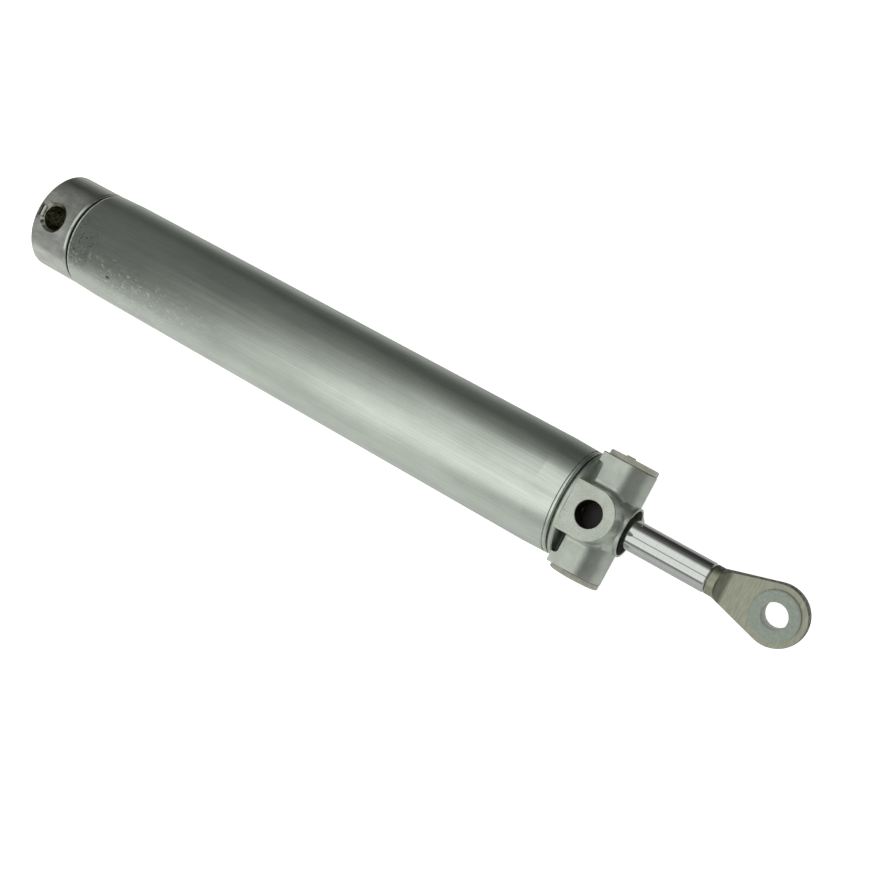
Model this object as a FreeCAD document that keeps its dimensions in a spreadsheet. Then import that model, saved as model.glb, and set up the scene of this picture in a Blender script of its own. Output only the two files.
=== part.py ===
import FreeCAD, Part
import math
import os
import re
import Sketcher

# Double-acting hydraulic cylinder for a folding car roof, lying along +X with its ports up (+Z).
# The origin is the centre of the end cap's flat outer face. The rod leaves at the far end.
# All lengths are in millimetres.

Vector = FreeCAD.Vector
document = FreeCAD.newDocument("RoofCylinder")

# Driving sizes
SIZES = [
    # how far a cutting outline stands clear of the metal
    ("cut_margin", 1.0),
    # drawn aluminium tube
    ("tube_od", 36.0),
    ("tube_wall", 3.0),
    ("tube_length", 203.6),
    ("tube_lip_round", 0.9),
    ("tube_neck_drop", 0.35),
    ("tube_neck_length", 10.0),
    ("crease_station", 1.75),
    ("crease_width", 0.5),
    ("crease_depth", 0.8),
    # turned end cap
    ("cap_inset", 0.4),
    ("cap_length", 17.6),
    ("cap_rim_chamfer", 0.9),
    ("cap_bevel_length", 0.9),
    ("cap_bevel_drop", 0.2),
    ("cap_edge_round", 0.6),
    ("cap_step_inset", 1.0),
    ("cap_step_length", 0.8),
    ("cap_plug_length", 13.0),
    # rear port and the clip that holds the hose end in it
    ("rear_port_station", 7.9),
    ("rear_port_dia", 8.7),
    ("rear_port_step_height", 5.0),
    ("rear_port_neck_dia", 6.4),
    ("rear_port_floor", 2.9),
    ("rear_passage_dia", 5.0),
    ("rear_port_chamfer", 1.2),
    ("clip_offset", 0.5),
    ("clip_flat_drop", 0.5),
    ("clip_flat_start", 1.2),
    ("clip_flat_width", 7.2),
    ("clip_slot_start", 1.4),
    ("clip_slot_width", 1.5),
    ("clip_slot_length", 4.3),
    ("clip_slot_depth", 3.6),
    ("clip_thickness", 0.5),
    ("clip_width", 3.9),
    ("clip_leg", 2.8),
    ("clip_bend_round", 0.35),
    ("stake_station", 4.1),
    ("stake_offset", 4.5),
    ("stake_dia", 0.9),
    ("stake_depth", 1.2),
    # static seals and the round wires that lock cap and head in the tube
    ("plug_clearance", 0.05),
    ("plug_lead", 0.9),
    ("o_ring_section", 2.2),
    ("o_ring_share", 0.82),
    ("o_ring_station", 4.0),
    ("backup_ring_width", 1.1),
    ("ring_fit", 0.03),
    ("wire_dia", 1.8),
    ("wire_station", 4.6),
    ("wire_gap_angle", 14.0),
    # die-cast cross head
    ("spacer_thickness", 0.5),
    ("spacer_inset", 0.55),
    ("flange_thickness", 1.6),
    ("flange_inset", 0.2),
    ("flange_edge", 0.35),
    ("head_set_out", 7.9),
    ("head_plug_length", 22.0),
    ("hub_od", 20.6),
    ("hub_shoulder", 5.5),
    ("collar_reach", 9.0),
    ("collar_lip_od", 16.7),
    ("collar_lip_length", 1.1),
    ("face_edge_round", 0.35),
    ("arm_height", 16.6),
    ("arm_reach", 18.9),
    ("arm_slot_width", 1.9),
    ("arm_slot_reach", 15.6),
    ("right_slot_depth", 4.0),
    ("left_slot_depth", 1.6),
    ("arm_slot_round", 1.2),
    ("root_round", 2.0),
    ("arm_edge_round", 0.5),
    ("front_port_dia", 8.7),
    ("front_port_floor", 9.8),
    ("front_port_chamfer", 0.15),
    ("front_passage_dia", 2.8),
    ("front_passage_height", 11.2),
    # rod guide and seals in the head
    ("guide_bush_length", 12.0),
    ("guide_bush_wall", 1.2),
    ("guide_relief", 0.6),
    ("rod_clearance", 0.05),
    ("seal_seat_back", 12.0),
    ("seal_housing_dia", 15.3),
    ("seal_clearance", 0.05),
    ("seal_washer_thickness", 1.5),
    ("washer_clearance", 0.3),
    ("rod_seal_length", 6.4),
    ("rod_seal_lip_length", 2.2),
    ("rod_seal_lip", 0.9),
    ("retainer_thickness", 1.5),
    ("circlip_thickness", 1.0),
    ("circlip_depth", 0.8),
    ("circlip_width", 2.0),
    ("circlip_gap_angle", 40.0),
    ("wiper_length", 5.0),
    ("wiper_body_length", 3.0),
    ("wiper_relief", 0.6),
    ("wiper_lip_root", 1.1),
    ("wiper_lip_edge", 0.4),
    # trunnion bushes
    ("trunnion_bore", 8.4),
    ("trunnion_bush_wall", 1.1),
    ("trunnion_bush_floor", 9.6),
    ("trunnion_flange_dia", 16.4),
    ("trunnion_flange", 1.6),
    ("trunnion_flange_edge", 0.3),
    ("trunnion_key_radius", 1.5),
    ("trunnion_key_offset", 5.9),
    ("trunnion_key_height", 0.5),
    # piston
    ("end_clearance", 0.5),
    ("piston_length", 16.0),
    ("piston_clearance", 0.15),
    ("piston_edge", 0.7),
    ("piston_seal_inset", 1.8),
    ("piston_seal_width", 3.2),
    ("piston_seal_depth", 2.9),
    ("piston_seal_lip", 0.8),
    ("guide_ring_width", 4.0),
    ("guide_ring_depth", 1.6),
    ("guide_ring_gap_angle", 4.0),
    ("ring_running", 0.05),
    ("bore_running", 0.05),
    ("nut_flats", 13.0),
    ("nut_height", 5.0),
    ("nut_crown", 0.2),
    ("nut_crown_slope", 1.7),
    ("piston_o_ring_section", 1.5),
    ("piston_o_ring_share", 0.85),
    # rod
    ("rod_dia", 10.0),
    ("rod_exposed", 28.4),
    ("rod_end_chamfer", 0.5),
    ("spigot_dia", 8.0),
    ("spigot_chamfer", 0.6),
    ("spigot_fit", 0.02),
    ("stud_dia", 6.0),
    ("stud_length", 13.0),
    ("stud_hole_extra", 1.0),
    ("stud_fit", 0.02),
    # rod eye
    ("eye_gap", 0.25),
    ("eye_neck_dia", 9.7),
    ("eye_neck_length", 2.4),
    ("eye_centre_distance", 22.1),
    ("eye_outer_dia", 19.8),
    ("eye_thickness", 4.3),
    ("scoop_radius", 4.0),
    ("eye_flat_start", 0.1),
    ("eye_roll", 11.0),
    ("eye_bore", 8.4),
    ("eye_bush_wall", 1.1),
    ("eye_flange_dia", 15.6),
    ("eye_flange", 1.1),
    ("eye_flange_edge", 0.35),
    ("eye_bush_parting", 0.1),
]

# Stations and radii that follow from them
DERIVED = [
    ("tube_radius", "tube_od / 2"),
    ("bore_radius", "tube_radius - tube_wall"),
    ("plug_radius", "bore_radius - plug_clearance"),
    ("cap_radius", "tube_radius - cap_inset"),
    ("cap_step_radius", "cap_radius - cap_step_inset"),
    ("clip_flat_height", "cap_radius - clip_flat_drop"),
    ("tube_start", "cap_length + cap_step_length"),
    ("tube_end", "tube_start + tube_length"),
    ("cap_plug_end", "tube_start + cap_plug_length"),
    ("flange_back", "tube_end + spacer_thickness"),
    ("flange_front", "flange_back + flange_thickness"),
    ("head_axis", "flange_front + head_set_out"),
    ("flange_radius", "tube_radius - flange_inset"),
    ("boss_height", "tube_radius"),
    ("head_plug_end", "tube_end - head_plug_length"),
    ("collar_front", "head_axis + collar_reach"),
    ("static_groove_width", "o_ring_section + backup_ring_width + 2 * ring_fit"),
    ("static_groove_radius", "bore_radius - o_ring_share * o_ring_section"),
    ("cap_groove_start", "cap_plug_end - o_ring_station - static_groove_width / 2"),
    ("head_groove_start", "head_plug_end + o_ring_station - static_groove_width / 2"),
    ("cap_wire_station", "tube_start + wire_station"),
    ("head_wire_station", "tube_end - wire_station"),
    ("wire_groove_radius", "bore_radius + wire_dia / 2 + ring_fit"),
    ("wire_seat_radius", "bore_radius - wire_dia / 2 - ring_fit"),
    ("rod_radius", "rod_dia / 2"),
    ("guide_housing_radius", "rod_radius + rod_clearance + guide_bush_wall"),
    ("guide_end", "head_plug_end + guide_bush_length"),
    ("seal_housing_radius", "seal_housing_dia / 2"),
    ("seal_radius", "seal_housing_radius - seal_clearance"),
    ("seal_seat", "head_axis - seal_seat_back"),
    ("rod_seal_start", "seal_seat + seal_washer_thickness"),
    ("retainer_start", "rod_seal_start + rod_seal_length"),
    ("circlip_start", "retainer_start + retainer_thickness"),
    ("wiper_start", "circlip_start + circlip_thickness"),
    ("seal_bore_radius", "rod_radius + rod_clearance"),
    ("trunnion_housing_radius", "trunnion_bore / 2 + trunnion_bush_wall"),
    ("nut_back", "cap_plug_end + end_clearance"),
    ("piston_back", "nut_back + nut_height"),
    ("piston_front", "piston_back + piston_length"),
    ("piston_radius", "bore_radius - piston_clearance"),
    ("ring_outer_radius", "bore_radius - bore_running"),
    ("rear_seal_start", "piston_back + piston_seal_inset"),
    ("front_seal_start", "piston_front - piston_seal_inset - piston_seal_width"),
    ("guide_ring_start", "(piston_back + piston_front - guide_ring_width) / 2"),
    ("seal_floor_radius", "piston_radius - piston_seal_depth"),
    ("guide_floor_radius", "piston_radius - guide_ring_depth"),
    ("spigot_radius", "spigot_dia / 2"),
    ("rod_front", "collar_front + rod_exposed"),
    ("stud_radius", "stud_dia / 2"),
    ("eye_start", "rod_front + eye_gap"),
    ("eye_neck_radius", "eye_neck_dia / 2"),
    ("eye_flare", "eye_start + eye_neck_length"),
    ("eye_centre", "rod_front + eye_centre_distance"),
    ("eye_radius", "eye_outer_dia / 2"),
    ("eye_half", "eye_thickness / 2"),
    ("eye_housing_radius", "eye_bore / 2 + eye_bush_wall"),
    ("stroke", "head_plug_end - piston_front - end_clearance"),
]


def fill_sheet():
    """Put the driving sizes and the stations that follow from them into one sheet."""
    sheet = document.addObject("Spreadsheet::Sheet", "Sizes")
    row = 1
    for name, value in SIZES:
        sheet.set("A%d" % row, name)
        sheet.set("B%d" % row, str(value))
        sheet.setAlias("B%d" % row, name)
        row += 1
    for name, rule in DERIVED:
        sheet.set("A%d" % row, name)
        sheet.set("B%d" % row, "=" + rule)
        sheet.setAlias("B%d" % row, name)
        row += 1
    document.recompute()
    return sheet


sheet = fill_sheet()


def size(name):
    """The present value of one cell of the sheet."""
    return float(sheet.get(name))


def formula(text):
    """Turn names of cells into references to the sheet."""
    return re.sub(r"\b[a-z]\w*\b(?!\()", r"Sizes.\g<0>", text)


def new_body(label):
    body = document.addObject("PartDesign::Body", label)
    body.Label = label
    return body


def new_sketch(body, name, role, lift=None, shift=None):
    """A sketch on one of the body's own planes, moved along its normal or along its first axis."""
    sketch = body.newObject("Sketcher::SketchObject", name)
    plane = next(item for item in body.Origin.OriginFeatures if item.Role == role)
    sketch.AttachmentSupport = [(plane, "")]
    sketch.MapMode = "FlatFace"
    if lift:
        sketch.setExpression("AttachmentOffset.Base.z", formula(lift))
    if shift:
        sketch.setExpression("AttachmentOffset.Base.x", formula(shift))
    return sketch


def pin_point(sketch, element, point, x, y):
    """Tie a point to the sheet: x and y are formulas, "0" puts it on the axis."""
    drawn = sketch.getPoint(element, point)
    for kind, text, axis, now in (("DistanceX", x, -2, drawn.x), ("DistanceY", y, -1, drawn.y)):
        if text == "0":
            sketch.addConstraint(Sketcher.Constraint("PointOnObject", element, point, axis))
            continue
        ends = (-1, 1, element, point)
        if text.startswith("-"):
            ends = (element, point, -1, 1)
            text = text[1:]
        index = sketch.addConstraint(Sketcher.Constraint(kind, *ends, abs(now)))
        sketch.setExpression("Constraints[%d]" % index, formula(text))


# where the outlines and circles are drawn first, before the sheet's sizes pull them into place
FIRST_DRAWN = Vector(50, 50, 0)
HALF_TURN = 180


def draw_outline(sketch, points):
    """A closed outline of straight edges through points whose places come from the sheet."""
    count = len(points)
    first = len(sketch.Geometry)
    start = []
    for i in range(count):
        turned = 2 * math.pi * i / count
        start.append(FIRST_DRAWN + Vector(math.cos(turned), math.sin(turned), 0) * FIRST_DRAWN.Length / 2)
    for i in range(count):
        sketch.addGeometry(Part.LineSegment(start[i], start[(i + 1) % count]))
    for i in range(count):
        following = first + (i + 1) % count
        sketch.addConstraint(Sketcher.Constraint("Coincident", first + i, 2, following, 1))
    for i, (x, y) in enumerate(points):
        pin_point(sketch, first + i, 1, x, y)


def draw_circle(sketch, x, y, radius):
    element = sketch.addGeometry(Part.Circle(FIRST_DRAWN, Vector(0, 0, 1), 1.0))
    pin_point(sketch, element, 3, x, y)
    index = sketch.addConstraint(Sketcher.Constraint("Radius", element, 1.0))
    sketch.setExpression("Constraints[%d]" % index, formula(radius))


def draw_boss(sketch, back, centre, width):
    """A boss's outline: straight sides from the flange and a half-round nose."""
    radius = size(width) / 2
    x0 = size(back)
    xc = size(centre)
    low = Vector(xc, -radius, 0)
    high = Vector(xc, radius, 0)
    nose = sketch.addGeometry(
        Part.ArcOfCircle(Part.Circle(Vector(xc, 0, 0), Vector(0, 0, 1), radius), -math.pi / 2, math.pi / 2)
    )
    upper = sketch.addGeometry(Part.LineSegment(high, Vector(x0, radius, 0)))
    rear = sketch.addGeometry(Part.LineSegment(Vector(x0, radius, 0), Vector(x0, -radius, 0)))
    lower = sketch.addGeometry(Part.LineSegment(Vector(x0, -radius, 0), low))
    sketch.addConstraint(Sketcher.Constraint("Tangent", nose, 2, upper, 1))
    sketch.addConstraint(Sketcher.Constraint("Coincident", upper, 2, rear, 1))
    sketch.addConstraint(Sketcher.Constraint("Coincident", rear, 2, lower, 1))
    sketch.addConstraint(Sketcher.Constraint("Tangent", lower, 2, nose, 1))
    sketch.addConstraint(Sketcher.Constraint("Horizontal", upper))
    sketch.addConstraint(Sketcher.Constraint("Vertical", rear))
    pin_point(sketch, nose, 3, centre, "0")
    index = sketch.addConstraint(Sketcher.Constraint("Radius", nose, radius))
    sketch.setExpression("Constraints[%d]" % index, formula(width + " / 2"))
    index = sketch.addConstraint(Sketcher.Constraint("DistanceX", -1, 1, rear, 1, x0))
    sketch.setExpression("Constraints[%d]" % index, formula(back))


def turn(body, name, points, angle=None):
    """Turn an outline of (station, radius) points about the cylinder's axis."""
    sketch = new_sketch(body, name + "_profile", "XZ_Plane")
    draw_outline(sketch, points)
    feature = body.newObject("PartDesign::Revolution", name)
    feature.Profile = sketch
    feature.ReferenceAxis = (sketch, ["H_Axis"])
    feature.Angle = 360
    if angle:
        feature.setExpression("Angle", formula(angle))
    return feature


def below(points):
    """The same outline under the axis, so that the seam of the turned face comes to lie underneath."""
    return [(x, y if y == "0" else "-(%s)" % y) for x, y in points]


def turn_groove(body, name, start, width, floor, outside):
    """Cut a square groove round the axis, between two radii."""
    sketch = new_sketch(body, name + "_profile", "XZ_Plane")
    end = start + " + " + width
    draw_outline(sketch, [(start, floor), (end, floor), (end, outside), (start, outside)])
    return groove_from(body, name, sketch, "H_Axis")


def wire_groove(body, name, station, inside, outside):
    """Cut one half of the groove that the lock wire lies in."""
    start = station + " - wire_dia / 2 - ring_fit"
    turn_groove(body, name, start, "wire_dia + 2 * ring_fit", inside, outside)


def groove_from(body, name, sketch, axis):
    feature = body.newObject("PartDesign::Groove", name)
    feature.Profile = sketch
    feature.ReferenceAxis = (sketch, [axis])
    feature.Angle = 360
    return feature


def bore(body, name, points, station):
    """Cut a stepped vertical hole: an outline of (radius, height) points turned about its own axis."""
    sketch = new_sketch(body, name + "_profile", "XZ_Plane", shift=station)
    draw_outline(sketch, points)
    return groove_from(body, name, sketch, "V_Axis")


def pad(body, name, sketch, length, symmetric=False):
    feature = body.newObject("PartDesign::Pad", name)
    feature.Profile = sketch
    feature.setExpression("Length", formula(length))
    if symmetric:
        feature.SideType = "Symmetric"
    return feature


def pocket(body, name, sketch, length=None, symmetric=False, backwards=False):
    feature = body.newObject("PartDesign::Pocket", name)
    feature.Profile = sketch
    if length:
        feature.setExpression("Length", formula(length))
    else:
        feature.Type = "ThroughAll"
    if symmetric:
        feature.SideType = "Symmetric"
    feature.Reversed = backwards
    return feature


def near(first, second, slack=0.01):
    return abs(first - second) < slack


def dress(body, kind, name, base, edges, amount, field):
    """Round or bevel the named edges of the body's last feature."""
    feature = body.newObject(kind, name)
    feature.Base = (base, edges)
    feature.setExpression(field, formula(amount))
    return feature


def round_edges(body, name, base, chosen, radius):
    """Fillet the edges for which chosen(edge) is true."""
    document.recompute()
    edges = ["Edge%d" % (i + 1) for i, edge in enumerate(base.Shape.Edges) if chosen(edge)]
    return dress(body, "PartDesign::Fillet", name, base, edges, radius, "Radius")


def ring_at(station, radius):
    """A test for the circular edge round the axis at one station."""
    def chosen(edge):
        curve = edge.Curve
        if not isinstance(curve, Part.Circle):
            return False
        return near(curve.Center.x, station) and near(curve.Radius, radius) and near(curve.Center.z, 0)
    return chosen


def make_tube():
    """Drawn tube: both ends are necked in a little and rolled round, with a wire groove inside each.

    A fine crease runs round behind the lip at the head.
    """
    body = new_body("cylinder_tube")
    neck = "tube_radius - tube_neck_drop"
    turned = turn(body, "tube_wall_turned", [
        ("tube_start", "bore_radius"),
        ("tube_start", neck),
        ("tube_start + tube_neck_length", "tube_radius"),
        ("tube_end - tube_neck_length", "tube_radius"),
        ("tube_end", neck),
        ("tube_end", "bore_radius"),
    ])
    lip = size("tube_radius") - size("tube_neck_drop")

    def outer_lip(edge):
        return ring_at(size("tube_start"), lip)(edge) or ring_at(size("tube_end"), lip)(edge)

    round_edges(body, "rolled_lips", turned, outer_lip, "tube_lip_round")
    turn_groove(body, "lip_crease", "tube_end - crease_station", "crease_width",
                "tube_radius - crease_depth", "tube_radius + cut_margin")
    wire_groove(body, "cap_wire_groove", "cap_wire_station", "bore_radius - cut_margin", "wire_groove_radius")
    wire_groove(body, "head_wire_groove", "head_wire_station", "bore_radius - cut_margin", "wire_groove_radius")


def make_cap():
    """Turned cap: its plug closes the tube, and the rear port opens on its upper side."""
    body = new_body("end_cap")
    turned = turn(body, "cap_turned", below([
        ("0", "0"),
        ("0", "cap_radius - cap_rim_chamfer"),
        ("cap_rim_chamfer", "cap_radius"),
        ("cap_length", "cap_radius"),
        ("cap_length", "cap_step_radius"),
        ("tube_start", "cap_step_radius"),
        ("tube_start", "plug_radius"),
        ("cap_plug_end - plug_lead", "plug_radius"),
        ("cap_plug_end", "plug_radius - plug_lead"),
        ("cap_plug_end", "0"),
    ]))
    round_edges(body, "cap_edge", turned, ring_at(size("cap_length"), size("cap_radius")), "cap_edge_round")
    turn_groove(body, "cap_seal_groove", "cap_groove_start", "static_groove_width",
                "static_groove_radius", "bore_radius")
    wire_groove(body, "cap_wire_seat", "cap_wire_station", "wire_seat_radius", "bore_radius + cut_margin")
    port = bore(body, "rear_port", [
        ("0", "-rear_port_floor"),
        ("rear_port_neck_dia / 2", "-rear_port_floor"),
        ("rear_port_neck_dia / 2", "rear_port_step_height"),
        ("rear_port_dia / 2", "rear_port_step_height"),
        ("rear_port_dia / 2", "cap_radius + cut_margin"),
        ("0", "cap_radius + cut_margin"),
    ], "rear_port_station")

    def port_rim(edge):
        box = edge.BoundBox
        radius = size("rear_port_dia") / 2
        middle = edge.valueAt(sum(edge.ParameterRange) / 2)
        on_wall = near(math.hypot(middle.x - size("rear_port_station"), middle.y), radius, 0.05)
        return on_wall and box.ZMin > size("rear_port_step_height") + 0.1 and box.YLength > radius / 2

    document.recompute()
    rim = ["Edge%d" % (i + 1) for i, edge in enumerate(port.Shape.Edges) if port_rim(edge)]
    dress(body, "PartDesign::Chamfer", "rear_port_lead_in", port, rim, "rear_port_chamfer", "Size")
    flat = new_sketch(body, "clip_flat_outline", "XY_Plane", lift="clip_flat_height")
    draw_outline(flat, [
        ("clip_flat_start", "-(clip_flat_width / 2 - clip_offset)"),
        ("rear_port_station", "-(clip_flat_width / 2 - clip_offset)"),
        ("rear_port_station", "clip_flat_width / 2 + clip_offset"),
        ("clip_flat_start", "clip_flat_width / 2 + clip_offset"),
    ])
    pocket(body, "clip_flat", flat, "clip_flat_drop + cut_margin", backwards=True)
    slot = new_sketch(body, "clip_slot_outline", "XY_Plane", lift="clip_flat_height")
    draw_outline(slot, [
        ("clip_slot_start", "-(clip_slot_length / 2 - clip_offset)"),
        ("clip_slot_start + clip_slot_width", "-(clip_slot_length / 2 - clip_offset)"),
        ("clip_slot_start + clip_slot_width", "clip_slot_length / 2 + clip_offset"),
        ("clip_slot_start", "clip_slot_length / 2 + clip_offset"),
    ])
    pocket(body, "clip_slot", slot, "clip_slot_depth")
    stake = new_sketch(body, "stake_outline", "XY_Plane", lift="cap_radius")
    draw_circle(stake, "stake_station", "stake_offset", "stake_dia / 2")
    pocket(body, "stake_mark", stake, "stake_depth")
    passage = new_sketch(body, "rear_passage_outline", "YZ_Plane", lift="cap_plug_end")
    draw_circle(passage, "0", "0", "rear_passage_dia / 2")
    pocket(body, "rear_passage", passage, "cap_plug_end - rear_port_station")
    bevel = new_sketch(body, "cap_bevel_profile", "XZ_Plane")
    draw_outline(bevel, [
        ("cap_length - cap_bevel_length", "cap_radius"),
        ("cap_length + cap_bevel_length", "cap_radius - 2 * cap_bevel_drop"),
        ("cap_length + cap_bevel_length", "cap_radius + cut_margin"),
        ("cap_length - cap_bevel_length", "cap_radius + cut_margin"),
    ])
    groove_from(body, "cap_bevel", bevel, "H_Axis")


def make_port_clip():
    """Bent spring-steel clip: its leg stands in the cap's slot and its lip reaches the port's edge."""
    body = new_body("rear_port_clip")
    slot_end = "clip_slot_start + clip_slot_width"
    port_wall = "rear_port_station - rear_port_dia / 2"
    top = "clip_flat_height + clip_thickness"
    foot = "clip_flat_height - clip_leg"
    side = new_sketch(body, "clip_side_view", "XZ_Plane", lift="-clip_offset")
    draw_outline(side, [
        (slot_end + " - clip_thickness - ring_fit", foot),
        (slot_end + " - ring_fit", foot),
        (slot_end + " - ring_fit", "clip_flat_height"),
        (port_wall + " - ring_fit", "clip_flat_height"),
        (port_wall + " - ring_fit", top),
        (slot_end + " - clip_thickness - ring_fit", top),
    ])
    strip = pad(body, "clip_strip", side, "clip_width", symmetric=True)
    level = size("clip_flat_height") + size("clip_thickness")

    def bend(edge):
        box = edge.BoundBox
        across = near(box.ZMin, level) and near(box.ZMax, level) and near(box.XLength, 0)
        return across and box.XMax < size("clip_slot_start") + size("clip_slot_width")

    round_edges(body, "clip_bend", strip, bend, "clip_bend_round")


def make_o_ring(label, station, inner, outer, fit="ring_fit"):
    """A round rubber ring that fills the gap between two radii."""
    ring = document.addObject("Part::Torus", label)
    ring.Label = label
    ring.Placement = FreeCAD.Placement(Vector(0, 0, 0), FreeCAD.Rotation(Vector(0, 1, 0), 90))
    ring.setExpression("Placement.Base.x", formula(station))
    ring.setExpression("Radius1", formula("(%s + %s) / 2" % (inner, outer)))
    ring.setExpression("Radius2", formula("(%s - %s) / 2 - %s" % (outer, inner, fit)))


def make_lock_wire(label, station):
    """An open ring of round wire that lies half in the tube's groove and half in the plug's."""
    ring = document.addObject("Part::Torus", label)
    ring.Label = label
    ring.Placement = FreeCAD.Placement(Vector(0, 0, 0), FreeCAD.Rotation(Vector(0, 1, 0), 90))
    ring.setExpression("Placement.Base.x", formula(station))
    ring.setExpression("Radius1", formula("bore_radius"))
    ring.setExpression("Radius2", formula("wire_dia / 2"))
    ring.setExpression("Angle3", formula("360 - wire_gap_angle"))


def make_ring(label, start, width, inner, outer, angle=None):
    """A plain ring of square section."""
    body = new_body(label)
    end = "%s + %s" % (start, width)
    turn(body, label + "_turned", [(start, inner), (start, outer), (end, outer), (end, inner)], angle)


def make_head():
    """Die-cast cross head: plug, flange, hub with its rod collar, two side arms and two bosses."""
    body = new_body("head_casting")
    arms = new_sketch(body, "arm_section", "XZ_Plane")
    draw_boss(arms, "flange_front", "head_axis", "arm_height")
    arm_pad = pad(body, "side_arms", arms, "2 * arm_reach", symmetric=True)
    reach = size("arm_reach")

    def arm_end(edge):
        box = edge.BoundBox
        at_end = near(abs(box.YMin), reach) and near(box.YLength, 0)
        return at_end and box.XMax > size("flange_front") + 0.1

    round_edges(body, "arm_end_edges", arm_pad, arm_end, "arm_edge_round")
    for level, backwards in (("upper", False), ("lower", True)):
        for side, sign in (("right", "-"), ("left", "")):
            name = level + "_" + side + "_core_slot"
            level_face = "-arm_height / 2" if backwards else "arm_height / 2"
            slot = new_sketch(body, name + "_outline", "XY_Plane", lift=level_face)
            draw_outline(slot, [
                ("flange_front", "0"),
                ("flange_front + arm_slot_width", "0"),
                ("flange_front + arm_slot_width", sign + "arm_slot_reach"),
                ("flange_front", sign + "arm_slot_reach"),
            ])
            cut = pocket(body, name, slot, side + "_slot_depth", backwards=backwards)

    def slot_corner(edge):
        box = edge.BoundBox
        upright = near(box.XLength, 0) and near(box.YLength, 0) and near(abs(box.YMin), size("arm_slot_reach"))
        return upright and near(box.XMin, size("flange_front") + size("arm_slot_width"))

    round_edges(body, "slot_ends", cut, slot_corner, "arm_slot_round")
    port_boss = new_sketch(body, "port_boss_outline", "XY_Plane")
    draw_boss(port_boss, "flange_front", "head_axis", "arm_height")
    pad(body, "port_boss", port_boss, "boss_height")
    blank_boss = new_sketch(body, "blank_boss_outline", "XY_Plane")
    draw_boss(blank_boss, "flange_front", "head_axis", "arm_height")
    blank = pad(body, "blank_boss", blank_boss, "boss_height")
    blank.Reversed = True

    def face_edge(edge):
        box = edge.BoundBox
        level = near(abs(box.ZMin), size("boss_height")) and near(box.ZLength, 0)
        return level and box.XMax > size("flange_front") + 0.1

    round_edges(body, "boss_face_edges", blank, face_edge, "face_edge_round")
    hub = turn(body, "hub_and_plug", [
        ("head_plug_end", "0"),
        ("head_plug_end", "plug_radius - plug_lead"),
        ("head_plug_end + plug_lead", "plug_radius"),
        ("flange_back", "plug_radius"),
        ("flange_back", "flange_radius - flange_edge"),
        ("flange_back + flange_edge", "flange_radius"),
        ("flange_front - flange_edge", "flange_radius"),
        ("flange_front", "flange_radius - flange_edge"),
        ("flange_front", "hub_od / 2"),
        ("head_axis + hub_shoulder", "hub_od / 2"),
        ("collar_front - collar_lip_length", "collar_lip_od / 2"),
        ("collar_front", "collar_lip_od / 2"),
        ("collar_front", "0"),
    ])

    def boss_root(edge):
        middle = edge.valueAt(sum(edge.ParameterRange) / 2)
        box = edge.BoundBox
        between = near(abs(middle.y), abs(middle.z)) and box.XLength > 0.1
        return between and box.XMin > size("flange_front") + 0.1

    round_edges(body, "boss_roots", hub, boss_root, "root_round")
    cut_head_bores(body)


def cut_head_bores(body):
    """The rod's stepped bore, the seal grooves, the port with its passage and the trunnion holes."""
    turn_groove(body, "head_seal_groove", "head_groove_start", "static_groove_width",
                "static_groove_radius", "bore_radius")
    wire_groove(body, "head_wire_seat", "head_wire_station", "wire_seat_radius", "bore_radius + cut_margin")
    rod_bore = new_sketch(body, "rod_bore_profile", "XZ_Plane")
    draw_outline(rod_bore, [
        ("head_plug_end - cut_margin", "0"),
        ("head_plug_end - cut_margin", "guide_housing_radius"),
        ("guide_end", "guide_housing_radius"),
        ("guide_end", "rod_radius + guide_relief"),
        ("seal_seat", "rod_radius + guide_relief"),
        ("seal_seat", "seal_housing_radius"),
        ("circlip_start", "seal_housing_radius"),
        ("circlip_start", "seal_housing_radius + circlip_depth"),
        ("wiper_start", "seal_housing_radius + circlip_depth"),
        ("wiper_start", "seal_housing_radius"),
        ("collar_front + cut_margin", "seal_housing_radius"),
        ("collar_front + cut_margin", "0"),
    ])
    groove_from(body, "rod_bore", rod_bore, "H_Axis")
    bore(body, "front_port", [
        ("0", "front_port_floor"),
        ("front_port_dia / 2", "front_port_floor"),
        ("front_port_dia / 2", "boss_height - front_port_chamfer"),
        ("front_port_dia / 2 + front_port_chamfer", "boss_height"),
        ("front_port_dia / 2 + front_port_chamfer", "boss_height + cut_margin"),
        ("0", "boss_height + cut_margin"),
    ], "head_axis")
    passage = new_sketch(body, "front_passage_outline", "YZ_Plane", lift="head_plug_end")
    draw_circle(passage, "0", "front_passage_height", "front_passage_dia / 2")
    pocket(body, "front_passage", passage, "head_axis - head_plug_end", backwards=True)
    for side, backwards in (("right", False), ("left", True)):
        hole = new_sketch(body, side + "_trunnion_outline", "XZ_Plane",
                          lift="-trunnion_bush_floor" if backwards else "trunnion_bush_floor")
        draw_circle(hole, "head_axis", "0", "trunnion_housing_radius")
        pocket(body, side + "_trunnion_hole", hole, "arm_reach - trunnion_bush_floor + cut_margin",
               backwards=not backwards)


def make_rod_seal():
    """U-section rod seal: its two lips open towards the pressure in the tube."""
    body = new_body("rod_seal")
    turn(body, "rod_seal_turned", [
        ("rod_seal_start", "seal_bore_radius"),
        ("rod_seal_start + rod_seal_lip_length", "seal_bore_radius + rod_seal_lip"),
        ("rod_seal_start + rod_seal_lip_length", "seal_radius - rod_seal_lip"),
        ("rod_seal_start", "seal_radius"),
        ("retainer_start", "seal_radius"),
        ("retainer_start", "seal_bore_radius"),
    ])


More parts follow.
